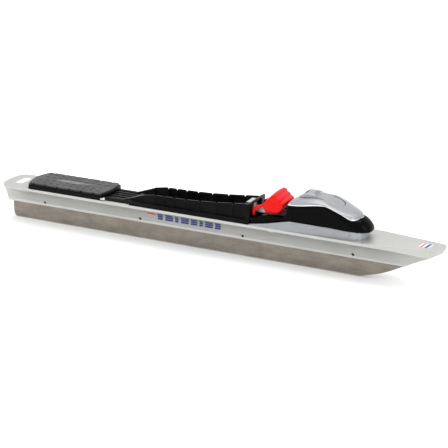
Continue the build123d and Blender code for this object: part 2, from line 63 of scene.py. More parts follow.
class Signal:
    def __init__(self, tree, socket=None):
        self.tree = tree
        self.socket = socket

    def node(self, kind, settings=None, inputs=None, out=0):
        made = self.tree.nodes.new(kind)
        for key, value in (settings or {}).items():
            if key == "stops":
                ramp = made.color_ramp
                while len(ramp.elements) < len(value):
                    ramp.elements.new(0.5)
                for element, (position, shade) in zip(ramp.elements, value):
                    element.position = position
                    element.color = (*shade, 1.0)
            else:
                setattr(made, key, value)
        for key, value in (inputs or {}).items():
            if isinstance(value, Signal):
                self.tree.links.new(value.socket, made.inputs[key])
            else:
                made.inputs[key].default_value = value
        return Signal(self.tree, made.outputs[out])

    def maths(self, operation, first, second=0.0):
        return self.node("ShaderNodeMath", {"operation": operation}, {0: first, 1: second})

    def __add__(self, other):
        return self.maths("ADD", self, other)

    def __sub__(self, other):
        return self.maths("SUBTRACT", self, other)

    def __mul__(self, other):
        return self.maths("MULTIPLY", self, other)

    def __gt__(self, other):
        return self.maths("GREATER_THAN", self, other)

    def __lt__(self, other):
        return self.maths("LESS_THAN", self, other)

    def __rsub__(self, other):
        return self.maths("SUBTRACT", other, self)

    __radd__ = __add__

    def where(self):
        return self.node("ShaderNodeTexCoord", out="Object")

    def stretched(self, factors):
        return self.node("ShaderNodeVectorMath", {"operation": "MULTIPLY"}, {0: self, 1: factors})

    def grain(self, scale, detail=3.0, roughness=0.55):
        settings = {"Vector": self, "Scale": scale, "Detail": detail, "Roughness": roughness}
        return self.node("ShaderNodeTexNoise", None, settings)

    def between(self, low, high):
        limits = {"Value": self, "From Min": low, "From Max": high}
        return self.node("ShaderNodeMapRange", {"clamp": True}, limits)

    def tint(self, dark, light):
        settings = {"data_type": "RGBA"}
        dark = dark if isinstance(dark, Signal) else (*dark, 1.0)
        light = light if isinstance(light, Signal) else (*light, 1.0)
        return self.node("ShaderNodeMix", settings, {0: self, 6: dark, 7: light}, out=2)

    def axis(self, name):
        return self.node("ShaderNodeSeparateXYZ", None, {0: self}, out=name)

    def bump(self, strength, distance):
        sizes = {"Height": self, "Strength": strength, "Distance": distance}
        return self.node("ShaderNodeBump", None, sizes)


def newFinish(name, fixed):
    material = bpy.data.materials.new(name)
    material.use_nodes = True
    tree = material.node_tree
    tree.nodes.clear()
    output = tree.nodes.new("ShaderNodeOutputMaterial")
    shader = tree.nodes.new("ShaderNodeBsdfPrincipled")
    tree.links.new(shader.outputs[0], output.inputs[0])
    for key, value in fixed.items():
        shader.inputs[key].default_value = value
    return material, shader, Signal(tree)


def feed(shader, varying):
    for key, signal in varying.items():
        signal.tree.links.new(signal.socket, shader.inputs[key])


# finishes

aluminium = {"dark": (0.385, 0.388, 0.372), "light": (0.47, 0.472, 0.455), "draw": (34.0, 2600.0, 2600.0)}


def anodisedAluminium():
    material, shader, shade = newFinish("anodisedAluminium", {"Metallic": 0.72})
    where = shade.where()
    lines = where.stretched(aluminium["draw"]).grain(1.0, 4.0, 0.6)
    cloud = where.grain(38.0, 3.0)
    mix = (lines * 0.65 + cloud * 0.35).between(0.3, 0.7)
    scratches = where.stretched((9.0, 900.0, 900.0)).grain(1.0, 2.0).between(0.66, 0.72)
    feed(shader, {
        "Base Color": mix.tint(aluminium["dark"], aluminium["light"]),
        "Roughness": lines * 0.16 + 0.30 + cloud * 0.05 - scratches * 0.06,
        "Normal": (lines + scratches * 0.5).bump(0.22, 0.00004),
    })
    return material


steel = {"dark": (0.150, 0.132, 0.110), "light": (0.275, 0.247, 0.213), "grind": (55.0, 55.0, 1900.0)}


def groundSteel():
    material, shader, shade = newFinish("groundSteel", {"Metallic": 0.62})
    where = shade.where()
    lines = where.stretched(steel["grind"]).grain(1.0, 4.0, 0.6)
    cross = where.stretched((1500.0, 40.0, 60.0)).grain(1.0, 2.0)
    blotch = where.stretched((1.0, 1.0, 2.2)).grain(46.0, 4.0, 0.62)
    mix = (blotch * 0.55 + lines * 0.3 + cross * 0.15).between(0.34, 0.66)
    honed = where.axis("Z").between(0.0014, 0.0002)
    feed(shader, {
        "Base Color": honed.tint(mix.tint(steel["dark"], steel["light"]), (0.55, 0.53, 0.50)),
        "Roughness": blotch * 0.22 + 0.27 + lines * 0.1,
        "Normal": (lines + cross * 0.35).bump(0.25, 0.00004),
    })
    return material


def mouldedBlack():
    material, shader, shade = newFinish("mouldedBlack", {"Specular IOR Level": 0.07})
    where = shade.where()
    pebble = where.grain(2300.0, 2.0)
    dust = where.grain(70.0, 4.0).between(0.45, 0.75)
    feed(shader, {
        "Base Color": dust.tint((0.0016, 0.0016, 0.0018), (0.0036, 0.0036, 0.0036)),
        "Roughness": pebble * 0.12 + 0.24 + dust * 0.08,
        "Normal": pebble.bump(0.35, 0.00005),
    })
    return material


def pianoBlack():
    material, shader, shade = newFinish("pianoBlack", {"Specular IOR Level": 0.045})
    where = shade.where()
    ripple = where.grain(60.0, 2.0)
    hairlines = where.stretched((260.0, 1500.0, 1500.0)).grain(1.0, 2.0).between(0.62, 0.7)
    feed(shader, {
        "Base Color": ripple.tint((0.0008, 0.0008, 0.0009), (0.0014, 0.0014, 0.0015)),
        "Roughness": hairlines * 0.10 + 0.13 + ripple * 0.03,
        "Normal": ripple.bump(0.04, 0.0004),
    })
    return material


def silverLacquer(name, dark, light):
    material, shader, shade = newFinish(name, {"Metallic": 0.55, "Coat Roughness": 0.12})
    where = shade.where()
    flakes = where.node("ShaderNodeTexVoronoi", None, {"Vector": where, "Scale": 5200.0}, out="Color")
    sparkle = flakes.axis("X")
    cloud = where.grain(55.0, 2.0)
    mix = (sparkle * 0.6 + cloud * 0.4).between(0.15, 0.85)
    feed(shader, {
        "Base Color": mix.tint(dark, light),
        "Roughness": sparkle * 0.12 + 0.27 + cloud * 0.05,
        "Coat Weight": cloud * 0.2 + 0.25,
        "Normal": sparkle.bump(0.08, 0.00003),
    })
    return material


def wedgeGrey():
    material, shader, shade = newFinish("wedgeGrey", {"Metallic": 0.25})
    where = shade.where()
    pebble = where.grain(1700.0, 2.0)
    cloud = where.grain(60.0, 3.0)
    # painted sheen: the curved nose is painted lighter where it turns to the light, and it is also made glossier
    # and smoother
    noseSheen = where.axis("X").between(0.158, 0.168)
    feed(shader, {
        "Base Color": (cloud * 0.6 + noseSheen * 0.5).tint((0.200, 0.207, 0.222), (0.36, 0.37, 0.385)),
        "Roughness": 0.40 - noseSheen * 0.24 + pebble * 0.08,
        "Normal": (pebble * (1 - noseSheen)).bump(0.2, 0.00005),
    })
    return material


def bumperRubber():
    fixed = {"Specular IOR Level": 0.12, "Subsurface Weight": 0.05, "Subsurface Radius": (0.004, 0.0008, 0.0005)}
    material, shader, shade = newFinish("bumperRubber", {**fixed, "Subsurface Scale": 0.6})
    where = shade.where()
    cloud = where.grain(140.0, 3.0)
    matt = where.grain(1500.0, 2.0)
    feed(shader, {
        "Base Color": cloud.between(0.3, 0.7).tint((0.56, 0.0022, 0.0014), (0.70, 0.0045, 0.0026)),
        "Roughness": cloud * 0.12 + 0.22 + matt * 0.06,
        "Normal": (matt * 0.4 + cloud).bump(0.10, 0.0001),
    })
    return material


def treadRubber(name, dark, light, rough):
    material, shader, shade = newFinish(name, {"Specular IOR Level": 0.4})
    where = shade.where()
    pebble = where.grain(1300.0, 3.0)
    worn = where.stretched((1.0, 1.6, 1.0)).grain(70.0, 4.0).between(0.4, 0.72)
    feed(shader, {
        "Base Color": worn.tint(dark, light),
        "Roughness": rough + pebble * 0.16 - worn * 0.05,
        "Normal": pebble.bump(0.5, 0.00012),
    })
    return material


def zincPlate(name, dark, light, rough):
    material, shader, shade = newFinish(name, {"Metallic": 0.95})
    where = shade.where()
    cloud = where.grain(420.0, 4.0)
    lines = where.stretched((300.0, 2600.0, 2600.0)).grain(1.0, 3.0)
    feed(shader, {
        "Base Color": (cloud * 0.7 + lines * 0.3).between(0.3, 0.7).tint(dark, light),
        "Roughness": cloud * 0.2 + rough,
        "Normal": lines.bump(0.2, 0.00003),
    })
    return material


def printedFilm(name, base, stripes):
    material, shader, shade = newFinish(name, {"Specular IOR Level": 0.4, "Coat Roughness": 0.2})
    where = shade.where()
    slanted = where.axis("X") - where.axis("Y") * 0.16
    fibre = where.grain(900.0, 3.0)
    colour = fibre.tint(base, tuple(channel * 0.86 for channel in base))
    for low, high, tone in stripes:
        band = (slanted > low * mm) * (slanted < high * mm)
        colour = band.tint(colour, tone)
    feed(shader, {
        "Base Color": colour,
        "Roughness": fibre * 0.15 + 0.30,
        "Normal": fibre.bump(0.08, 0.00004),
    })
    return material


def inkFilm(name, dark, light):
    material, shader, shade = newFinish(name, {"Specular IOR Level": 0.4})
    speckle = shade.where().stretched((1.0, 2.0, 2.0)).grain(600.0, 3.0)
    feed(shader, {
        "Base Color": speckle.between(0.3, 0.75).tint(dark, light),
        "Roughness": speckle * 0.2 + 0.32,
        "Normal": speckle.bump(0.08, 0.00003),
    })
    return material


finishes = {
    "aluminium": anodisedAluminium(),
    "steel": groundSteel(),
    "black": mouldedBlack(),
    "gloss": pianoBlack(),
    "silver": silverLacquer("silverLacquer", (0.215, 0.222, 0.238), (0.285, 0.292, 0.308)),
    "grey": wedgeGrey(),
    "red": bumperRubber(),
    "tread": treadRubber("treadRubber", (0.018, 0.018, 0.0185), (0.040, 0.040, 0.041), 0.40),
    "spine": treadRubber("spineRubber", (0.075, 0.075, 0.077), (0.13, 0.13, 0.132), 0.28),
    # much lighter silver for the faces along the cover's lower edge: a painted highlight
    "rim": silverLacquer("paintedRimHighlight", (0.62, 0.63, 0.64), (0.74, 0.745, 0.75)),
    "zinc": zincPlate("zincPlate", (0.42, 0.42, 0.43), (0.62, 0.62, 0.62), 0.24),
    "spring": zincPlate("springWire", (0.35, 0.35, 0.36), (0.52, 0.52, 0.53), 0.18),
    "dark": zincPlate("burnishedPin", (0.035, 0.033, 0.032), (0.075, 0.07, 0.066), 0.32),
    "heelLabel": printedFilm("heelLabelFilm", (0.86, 0.86, 0.85), [(-233.6, -232.9, (0.45, 0.45, 0.47))]),
    "toeLabel": printedFilm("toeLabelFilm", (0.82, 0.82, 0.84),
                            [(227.5, 229.6, (0.62, 0.03, 0.03)), (232.0, 235.2, (0.02, 0.045, 0.22))]),
    "redInk": inkFilm("redInk", (0.42, 0.012, 0.018), (0.60, 0.03, 0.03)),
    "navyInk": inkFilm("navyInk", (0.010, 0.018, 0.095), (0.025, 0.04, 0.17)),
}
print("finishes ready")


# mesh helpers

def newObject(name, points, faces):
    mesh = bpy.data.meshes.new(name)
    mesh.from_pydata([tuple(point) for point in points], [], faces)
    mesh.validate()
    thing = bpy.data.objects.new(name, mesh)
    scene.collection.objects.link(thing)
    return thing


welds = {"drawn": 0.000002, "refined": 0.000004, "flat": 1.2}  # metres, and degrees between flat faces


def outwards(piece):
    form = bmesh.new()
    form.from_mesh(piece.data)
    bmesh.ops.remove_doubles(form, verts=form.verts, dist=welds["drawn"])
    bmesh.ops.recalc_face_normals(form, faces=form.faces)
    form.to_mesh(piece.data)
    form.free()


def applied(piece):
    bpy.context.view_layer.update()
    graph = bpy.context.evaluated_depsgraph_get()
    mesh = bpy.data.meshes.new_from_object(piece.evaluated_get(graph))
    old = piece.data
    piece.modifiers.clear()
    piece.data = mesh
    bpy.data.meshes.remove(old)
    mesh.name = piece.name


def softened(piece, width, segments=2, angle=32.0):
    edges = piece.modifiers.new("softEdges", "BEVEL")
    edges.width = width * mm
    edges.segments = segments
    edges.limit_method = "ANGLE"
    edges.angle_limit = math.radians(angle)
    edges.use_clamp_overlap = True
    applied(piece)


def smoothed(piece, angle=38.0):
    piece.data.shade_smooth()
    piece.data.set_sharp_from_angle(angle=math.radians(angle))


def carved(piece, cutters):
    for cutter in cutters:
        cut = piece.modifiers.new("carve", "BOOLEAN")
        cut.operation = "DIFFERENCE"
        cut.solver = "EXACT"
        cut.object = cutter
    applied(piece)
    for cutter in cutters:
        bpy.data.objects.remove(cutter)


def seat(piece, finish, body, slot, *replaced, angle=38.0, trim=None):
    chosen = [finishes[finish], finishes[trim]] if trim else [finishes[finish]]
    while len(piece.data.materials) < len(chosen):
        piece.data.materials.append(None)
    for index, material in enumerate(chosen):
        piece.data.materials[index] = material
    smoothed(piece, angle)
    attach(piece, body)
    if replaced:
        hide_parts(*replaced)
    return piece


def gridFaces(rows, columns, closed=False):
    faces = []
    wrap = columns if closed else columns - 1
    for row in range(rows - 1):
        for column in range(wrap):
            after = (column + 1) % columns
            low, high = row * columns, (row + 1) * columns
            faces.append((low + column, low + after, high + after, high + column))
    return faces


def cappedTube(name, loops):
    count = len(loops[0])
    points = [point for loop in loops for point in loop]
    faces = gridFaces(len(loops), count, closed=True)
    faces.append(tuple(reversed(range(count))))
    faces.append(tuple(range((len(loops) - 1) * count, len(loops) * count)))
    piece = newObject(name, points, faces)
    outwards(piece)
    return piece


def slabAcross(name, outline, halfWidth, middle=0.0):
    loops = [[place(x, middle + side * halfWidth, h) for x, h in outline] for side in (-1, 1)]
    return cappedTube(name, loops)


def slabUp(name, outline, low, high):
    return cappedTube(name, [[place(x, y, h) for x, y in outline] for h in (low, high)])


def roundBar(name, start, end, radius, sides=24):
    line = end - start
    turn = line.to_track_quat("Z", "Y").to_matrix()
    loops = []
    for base in (start, end):
        ring = []
        for index in range(sides):
            angle = 2 * math.pi * index / sides
            ring.append(base + turn @ Vector((math.cos(angle), math.sin(angle), 0.0)) * radius * mm)
        loops.append(ring)
    return cappedTube(name, loops)


def refined(node, name, width, segments=2, angle=32.0):
    piece = bpy.data.objects.new(name, nodes[node].data.copy())
    scene.collection.objects.link(piece)
    form = bmesh.new()
    form.from_mesh(piece.data)
    bmesh.ops.remove_doubles(form, verts=form.verts, dist=welds["refined"])
    flat = math.radians(welds["flat"])
    bmesh.ops.dissolve_limit(form, angle_limit=flat, verts=form.verts, edges=form.edges)
    form.to_mesh(piece.data)
    form.free()
    softened(piece, width, segments, angle)
    return piece


def through(points, at):
    # smooth curve through the points, one unit of at for each span
    index = min(max(int(at), 0), len(points) - 2)
    part = at - index
    before = points[max(index - 1, 0)]
    here, ahead = points[index], points[index + 1]
    after = points[min(index + 2, len(points) - 1)]
    value = []
    for a, b, c, d in zip(before, here, ahead, after):
        bend = (2 * a - 5 * b + 4 * c - d) * part ** 2 + (3 * b - a - 3 * c + d) * part ** 3
        value.append(0.5 * (2 * b + (c - a) * part + bend))
    return value


def ease(low, high, value):
    share = min(max((value - low) / (high - low), 0.0), 1.0)
    return share * share * (3 - 2 * share)


def alongLine(points, x):
    for (x0, h0), (x1, h1) in zip(points, points[1:]):
        if x <= x1:
            return h0 + (h1 - h0) * (max(x, x0) - x0) / (x1 - x0)
    return points[-1][1]


# aluminium profile

profile = {
    "half": 22.55, "edge": 2.8, "coveHalf": 22.0, "webHalf": 5.4, "webLow": 21.5, "lipHalf": 5.6, "lipLow": 19.4,
    "slotHalf": 3.05, "slotTop": 28.0, "end": 250.0, "heelRound": 15.8, "taper": 180.6, "tipHalf": 11.8,
    "heelSquare": 2.7, "tipCorner": 6.0, "slantStart": 213.5, "slant": 30.0, "turn": 50.0, "coveSteps": 22,
    "lipStep": 0.3, "heelSteps": 26, "along": (-200, -150, -100, -50, 0, 50, 100, 150), "nose": (195, 205),
    "slantSteps": 29, "tipSteps": 12, "cell": ((1.0, -11.4), (4.7, -11.4), (4.7, -3.0), (1.0, -3.0)),
}
pins = {"places": (-200.5, -80.5, 39.5, 159.5), "z": 23.2, "radius": 1.55, "reach": 30.0}
studHole = {"x": 76.0, "y": 17.6, "low": -16.0, "high": 4.0, "radius": 2.4}


def coveCircle():
    dy = profile["webHalf"] - profile["coveHalf"]
    dz = profile["webLow"] - (deck - profile["edge"])
    chord = math.hypot(dy, dz)
    half = math.radians(profile["turn"] / 2)
    radius = chord / (2 * math.sin(half))
    middleY = profile["coveHalf"] + dy / 2
    middleZ = deck - profile["edge"] + dz / 2
    back = radius * math.cos(half)
    return middleY - dz / chord * back, middleZ + dy / chord * back, radius


coveY, coveZ, coveRadius = coveCircle()


def coveHeight(y):
    y = min(max(y, profile["webHalf"]), profile["coveHalf"])
    return coveZ + math.sqrt(coveRadius ** 2 - (coveY - y) ** 2)


def planHalf(x, power):
    end = profile["end"]
    centre = -end + profile["heelRound"]
    if x < centre:
        reach = min((centre - x) / profile["heelRound"], 1.0)
        return max(profile["half"] * (1 - reach ** power) ** (1 / power), 0.05)
    share = max(x - profile["taper"], 0.0) / (end - profile["taper"])
    half = profile["half"] + (profile["tipHalf"] - profile["half"]) * share
    corner = x - (end - profile["tipCorner"])
    if corner > 0:
        half -= profile["tipCorner"] - math.sqrt(max(profile["tipCorner"] ** 2 - corner ** 2, 0.0))
    return half


def profileRing(x):
    plate = planHalf(x, profile["heelSquare"])
    width = planHalf(x, 2.0)
    past = x - profile["slantStart"]
    rise = profile["lipLow"] + profile["lipStep"] + past * math.tan(math.radians(profile["slant"]))
    floor = min(rise, deck - profile["edge"]) if past > 0 else 0.0
    start = min(width, profile["coveHalf"])
    under = deck - profile["edge"]
    low = min(under, coveHeight(width)) if width < profile["coveHalf"] else under
    half = [(0, deck), (plate * 0.5, deck), (plate, deck), (plate, max(under, floor)), (width, max(low, floor))]
    firstTurn = math.acos((coveY - max(start, profile["webHalf"])) / coveRadius)
    lastTurn = math.acos((coveY - profile["webHalf"]) / coveRadius)
    for step in range(profile["coveSteps"] + 1):
        turn = firstTurn + (lastTurn - firstTurn) * step / profile["coveSteps"]
        y = min(coveY - coveRadius * math.cos(turn), width)
        half.append((y, max(coveHeight(y), floor)))
    lip = min(width, profile["lipHalf"])
    slot = min(width, profile["slotHalf"])
    lipTop = profile["webLow"] - profile["lipStep"]
    corners = ((lip, lipTop), (lip, profile["lipLow"]), (slot, profile["lipLow"]), (slot, profile["slotTop"]))
    for y, z in (*corners, (0, profile["slotTop"])):
        half.append((y, max(z, floor)))
    ring = half + [(-y, z) for y, z in reversed(half[1:-1])]
    return [Vector((x * mm, y * mm, z * mm)) for y, z in ring]


def buildProfile():
    end, quarter, steps = profile["end"], math.pi / 2, profile["heelSteps"]
    places = [-end + profile["heelRound"] * (1 - math.cos(quarter * step / steps)) for step in range(steps + 1)]
    places += [*profile["along"], profile["taper"], *profile["nose"], profile["slantStart"]]
    places += [profile["slantStart"] + 1.0 * step for step in range(1, profile["slantSteps"] + 1)]
    steps = profile["tipSteps"]
    places += [end - profile["tipCorner"] * (1 - math.sin(quarter * step / steps)) for step in range(steps + 1)]
    piece = cappedTube("runnerProfile", [profileRing(x) for x in sorted(set(places))])
    cutters = []
    for x in pins["places"]:
        bar = [Vector((x * mm, side * pins["reach"] * mm, pins["z"] * mm)) for side in (-1, 1)]
        cutters.append(roundBar("pinHole", bar[0], bar[1], pins["radius"]))
    for side in (-1, 1):
        ends = [place(studHole["x"], side * studHole["y"], studHole[level]) for level in ("low", "high")]
        cutters.append(roundBar("screwHole", ends[0], ends[1], studHole["radius"]))
        loops = [[place(x, side * y, h) for y, h in profile["cell"]] for x in (-end - 5, end + 5)]
        cutters.append(cappedTube("hollowCell", loops))
    carved(piece, cutters)
    softened(piece, 0.4, 3, 30)
    return seat(piece, "aluminium", "skate", "anodised_aluminium", "aluminium_profile", angle=30)


buildProfile()
print("profile ready")


# runner blade; its pins keep their own solids further down

seat(refined("blade", "runnerBlade", 0.25), "steel", "skate", "runner_steel", "blade", angle=25)


# side stripes on the coves

stripes = {
    "tiers": ((26.4, 29.0), (29.6, 32.2), (32.8, 35.6)), "lean": 0.42, "proud": 0.05, "thick": 0.05, "rows": 5,
    # left end and width of each slanted block
    "navyInk": ((-58.5, 6.0), (-49.5, 9.0), (-38.0, 4.0), (-31.0, 9.0), (-19.5, 7.5), (-9.5, 4.0), (-3.0, 9.0),
                (8.5, 6.5)),
    "redInk": ((-71.0, 9.5),),
}


def buildStripes(side):
    hand = "Left" if side > 0 else "Right"
    reach = coveRadius - stripes["proud"] - stripes["thick"]
    for ink in ("redInk", "navyInk"):
        points, faces = [], []
        tiers = stripes["tiers"][2:] if ink == "redInk" else stripes["tiers"]
        for left, width in stripes[ink]:
            for low, high in tiers:
                base = len(points)
                for row in range(stripes["rows"]):
                    z = low + (high - low) * row / (stripes["rows"] - 1)
                    y = coveY - math.sqrt(reach ** 2 - (z - coveZ) ** 2)
                    shift = (z - stripes["tiers"][0][0]) * stripes["lean"]
                    for x in (left + shift, left + shift + width):
                        points.append(Vector((x * mm, side * y * mm, z * mm)))
                faces += [tuple(base + corner for corner in face) for face in gridFaces(stripes["rows"], 2)]
        piece = newObject(f"{ink}Stripes{hand}", points, faces)
        skin = piece.modifiers.new("film", "SOLIDIFY")
        skin.thickness = stripes["thick"] * mm
        skin.offset = 0.0
        applied(piece)
        outwards(piece)
        seat(piece, ink, "skate", "label", angle=30)


for side in (-1, 1):
    buildStripes(side)


# ridge rail and heel track

seat(refined("ridge_rail", "ridgeRail", 0.35, 2, 28), "black", "skate", "black_plastic", "ridge_rail", angle=30)
seat(refined("heel_track", "heelTrack", 0.25), "black", "skate", "black_plastic", "heel_track", angle=30)


# heel plate

spine = {
    "rear": -192.0, "front": -142.0, "half": 3.4, "rise": 0.5, "tip": 0.2, "sunk": 0.15,
    "steps": 24, "spokes": 12,
}


def buildHeelTread():
    tread = refined("heel_tread", "heelTread", 0.45, 3)
    seat(tread, "tread", "heel_slider", "tread_rubber", "heel_tread", angle=30)
    top = (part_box("heel_tread")[1][2] - deckZ) / mm
    loops = []
    for step in range(spine["steps"] + 1):
        share = step / spine["steps"]
        x = spine["rear"] + (spine["front"] - spine["rear"]) * share
        swell = spine["half"] * math.sin(math.pi * share) + spine["tip"]
        ring = []
        for spoke in range(spine["spokes"] + 1):
            turn = math.pi * spoke / spine["spokes"]
            ring.append(place(x, swell * math.cos(turn), top - spine["sunk"] + spine["rise"] * math.sin(turn)))
        loops.append(ring)
    seat(cappedTube("treadSpine", loops), "spine", "heel_slider", "tread_rubber", angle=50)


buildHeelTread()
seat(refined("heel_plate", "heelPlate", 0.5), "black", "heel_slider", "black_plastic", "heel_plate", angle=30)
print("rail and heel ready")


# wedge under the housing

wedge = {
    "line": ((52.9, 0.4), (76.6, 5.2), (97.0, 10.1), (119.0, 9.8), (140.5, 9.0), (156.0, 8.0), (176.0, 6.9)),
    "plan": ((52.9, 22.5), (64.0, 22.5), (77.0, 22.5), (92.0, 22.2), (109.0, 21.6), (125.0, 20.9), (140.0, 19.9),
             (152.0, 19.2), (160.0, 18.3), (165.5, 16.2), (169.4, 12.6), (171.8, 7.4), (172.8, 0.0)),
    "spanSteps": 6, "seam": 0.06, "half": 22.5, "straight": 60.0, "drawLength": 112.0,
    # share of the height, and how far the wall leans in
    "draft": ((0.0, 0.0), (0.25, 0.05), (0.97, 0.45), (1.0, 0.9)),
    "notch": ((159.4, 3.4), (161.2, 3.4), (161.2, 12.0), (159.4, 12.0)), "notchHalf": 1.2, "notchY": -18.9,
    "room": ((60, 3.5), (150, 3.5), (150, 20), (60, 20)), "roomHalf": 11.0,
}


def buildWedge():
    spans = len(wedge["plan"]) - 1
    steps, straight = wedge["spanSteps"], wedge["straight"]
    half = [through(wedge["plan"], step / steps) for step in range(spans * steps + 1)]
    outline = half + [(x, -y) for x, y in reversed(half[:-1])]
    loops = []
    for share, draw in wedge["draft"]:
        narrow = 1 - draw / wedge["half"]
        shorter = 1 - draw / wedge["drawLength"]
        ring = []
        for x, y in outline:
            height = wedge["seam"] + (alongLine(wedge["line"], x) - wedge["seam"]) * share
            drawn = x if x < straight else straight + (x - straight) * shorter
            ring.append(place(drawn, y * narrow, height))
        loops.append(ring)
    piece = cappedTube("bindingWedge", loops)
    notch = slabAcross("wedgeNotch", wedge["notch"], wedge["notchHalf"], wedge["notchY"])
    room = slabAcross("latchRoom", wedge["room"], wedge["roomHalf"])
    carved(piece, [notch, room])
    softened(piece, 0.15, 1, 40)
    return seat(piece, "grey", "skate", "grey_plastic", "wedge_base", angle=35)


buildWedge()


# housing and cover, both drawn on one set of rings

# x, half width and height at the wedge, half width and height at the cover's edge, height on the centre line
hullRings = (
    (94.0, 19.8, 10.0, 18.0, 26.0, 28.4),
    (100.0, 19.9, 10.0, 18.0, 26.3, 31.8),
    (108.0, 19.9, 9.9, 18.0, 27.1, 34.3),
    (120.0, 19.8, 9.7, 18.0, 29.2, 35.4),
    (131.0, 19.5, 9.4, 17.8, 30.4, 34.2),
    (136.0, 19.3, 9.2, 17.5, 29.6, 32.8),
    (148.0, 18.9, 8.6, 16.5, 24.7, 28.2),
    (158.0, 17.9, 8.0, 14.8, 19.4, 24.9),
    (163.0, 16.8, 7.7, 10.2, 18.3, 23.1),
    (167.4, 15.3, 7.4, 1.2, 19.4, 20.8),
    (172.2, 12.4, 7.1, 0.4, 16.2, 16.3),
    (175.9, 8.4, 6.9, 0.2, 11.7, 11.8),
    (177.3, 3.2, 6.8, 0.1, 7.6, 7.7),
)
housing = {
    "wall": 1.8, "recess": 0.75, "soft": 1.1, "archRear": 99.5, "archDrop": 4.2, "seamGap": 0.06,
    "shoulder": 0.62, "archBend": 134.0, "archFall": 0.10, "fade": (160.0, 168.0), "pathSteps": 34, "rings": 150,
}
cover = {
    "wall": 1.5, "lastRing": 9.0, "gap": 0.5, "shelf": 0.5, "leastRise": 0.05, "roundness": 1.15,
    "arcStart": 0.10, "rings": 110, "turns": 40, "fullRim": 3.0, "rimTop": 0.60,
    # rolled rim: outwards, outwards on a full rim, up, up on a full rim
    "roll": ((-0.15, 0.0, 0.0, -0.35), (0.0, 0.30, 0.0, -0.25), (0.0, 0.38, 0.15, 0.0), (0.0, 0.12, 0.48, 0.0)),
}
button = {
    "line": ((103.4, 32.0), (105.0, 36.0), (108.5, 37.9), (118.0, 37.7), (128.0, 35.8), (138.0, 32.2),
             (146.8, 28.6)),
    "half": 8.9, "roundFrom": 138.0, "front": 146.8, "crown": 0.0055, "deep": 4.6,
    "straights": (106.0, 112.0, 120.0, 130.0), "roundSteps": 12, "roundPower": 2.4,
    "scoop": 2.5, "scoopFront": 143.0, "wallX": 115.4, "wallBow": 0.055,
    "wallRun": 1.3, "wallFoot": 2.0, "scoopHalf": 9.4, "lengths": 90, "widths": 28, "leastHalf": 0.3,
    "edgeDrop": 0.7, "edgePower": 14, "skirt": 1.2,
    "slot": ((105.6, 34.0), (109.2, 34.0), (109.2, 45.0), (105.6, 45.0)), "slotHalf": 6.4, "slotY": 0.4,
    # near-black sheet at the floor of the pole slot: painted shade for the dark opening
    "slotShadeSheet": ((105.75, 33.4), (109.05, 33.4), (109.05, 35.0), (105.75, 34.6)), "slotShadeHalf": 6.2,
    "arm": ((141.4, 20.6), (146.4, 20.6), (146.2, 25.6), (140.2, 28.4)), "armHalf": 1.2, "armY": 7.6,
    "cam": ((107.0, 33.0), (107.0, 13.4), (108.2, 13.4), (114.0, 19.2), (114.0, 33.6)),
    "camHalf": 0.9, "camY": 5.1,
}


def sidePath(ring, steps):
    x, baseHalf, baseHeight, edgeHalf, edgeHeight, _ = ring
    first = (baseHalf, baseHeight + housing["seamGap"])
    second = (baseHalf, baseHeight + housing["shoulder"] * (edgeHeight - baseHeight))
    third = (edgeHalf + 0.5 * (baseHalf - edgeHalf), edgeHeight)
    last = (edgeHalf, edgeHeight)
    path = []
    for step in range(steps + 1):
        t = step / steps
        weights = ((1 - t) ** 3, 3 * t * (1 - t) ** 2, 3 * t * t * (1 - t), t ** 3)
        y = sum(w * p[0] for w, p in zip(weights, (first, second, third, last)))
        h = sum(w * p[1] for w, p in zip(weights, (first, second, third, last)))
        top = edgeHeight - housing["archDrop"] - housing["archFall"] * max(x - housing["archBend"], 0.0)
        inside = ease(0.0, housing["soft"], x - housing["archRear"]) * ease(0.0, housing["soft"], top - h)
        inside *= 1 - ease(*housing["fade"], x)
        path.append((y - housing["recess"] * inside, h))
    return path


def ringAt(at):
    return through(hullRings, at)


def buildHousing():
    steps, rings = housing["pathSteps"], housing["rings"]
    loops = []
    for index in range(rings + 1):
        share = index / rings
        ring = ringAt(share * (len(hullRings) - 1))
        path = sidePath(ring, steps)
        path += [(-y, h) for y, h in reversed(path)]
        loops.append([place(ring[0], y, h) for y, h in path])
    points = [point for loop in loops for point in loop]
    count = len(loops[0])
    faces = []
    # open above, where the cover sits
    closedFrom = int(rings * (cover["lastRing"] + 0.1) / (len(hullRings) - 1))
    for face in gridFaces(len(loops), count):
        column = face[0] % count
        joined = face[0] // count >= closedFrom
        if column != steps or joined:
            faces.append(face)
    tip = len(loops) - 1
    faces.append(tuple(tip * count + step for step in range(count)))
    shell = newObject("latchHousing", points, faces)
    outwards(shell)
    skin = shell.modifiers.new("wall", "SOLIDIFY")
    skin.thickness = housing["wall"] * mm
    skin.offset = -1.0
    skin.use_even_offset = False
    applied(shell)
    return seat(shell, "gloss", "skate", "gloss_black", "front_housing", angle=50)


tail = {
    "outline": ((53.0, 0.6), (53.0, 7.4), (60.0, 7.4), (66.0, 11.4), (89.0, 11.9), (92.6, 17.0), (94.0, 25.3),
                (96.4, 25.3), (96.4, 10.3), (76.6, 5.4)),
    "half": 19.4, "room": ((40, -1), (99, -1), (99, 14.2), (40, 14.2)), "roomHalf": 9.5,
}
latchFloor = {
    "outline": ((97, 10.3), (160, 10.3), (160, 12.3), (97, 12.3)), "half": 14.0,
    "camSlot": ((103, 5), (117, 5), (117, 15), (103, 15)), "camSlotHalf": 1.7,
}


def buildTail():
    piece = slabAcross("housingTail", tail["outline"], tail["half"])
    room = slabAcross("slideRoom", tail["room"], tail["roomHalf"])
    carved(piece, [room])
    softened(piece, 0.6, 3, 30)
    seat(piece, "gloss", "skate", "gloss_black", angle=35)
    floor = slabAcross("latchFloor", latchFloor["outline"], latchFloor["half"])
    wide, middle = latchFloor["camSlotHalf"], button["camY"]
    slots = [slabAcross("camSlot", latchFloor["camSlot"], wide, side * middle) for side in (-1, 1)]
    carved(floor, slots)
    seat(floor, "black", "skate", "black_plastic")


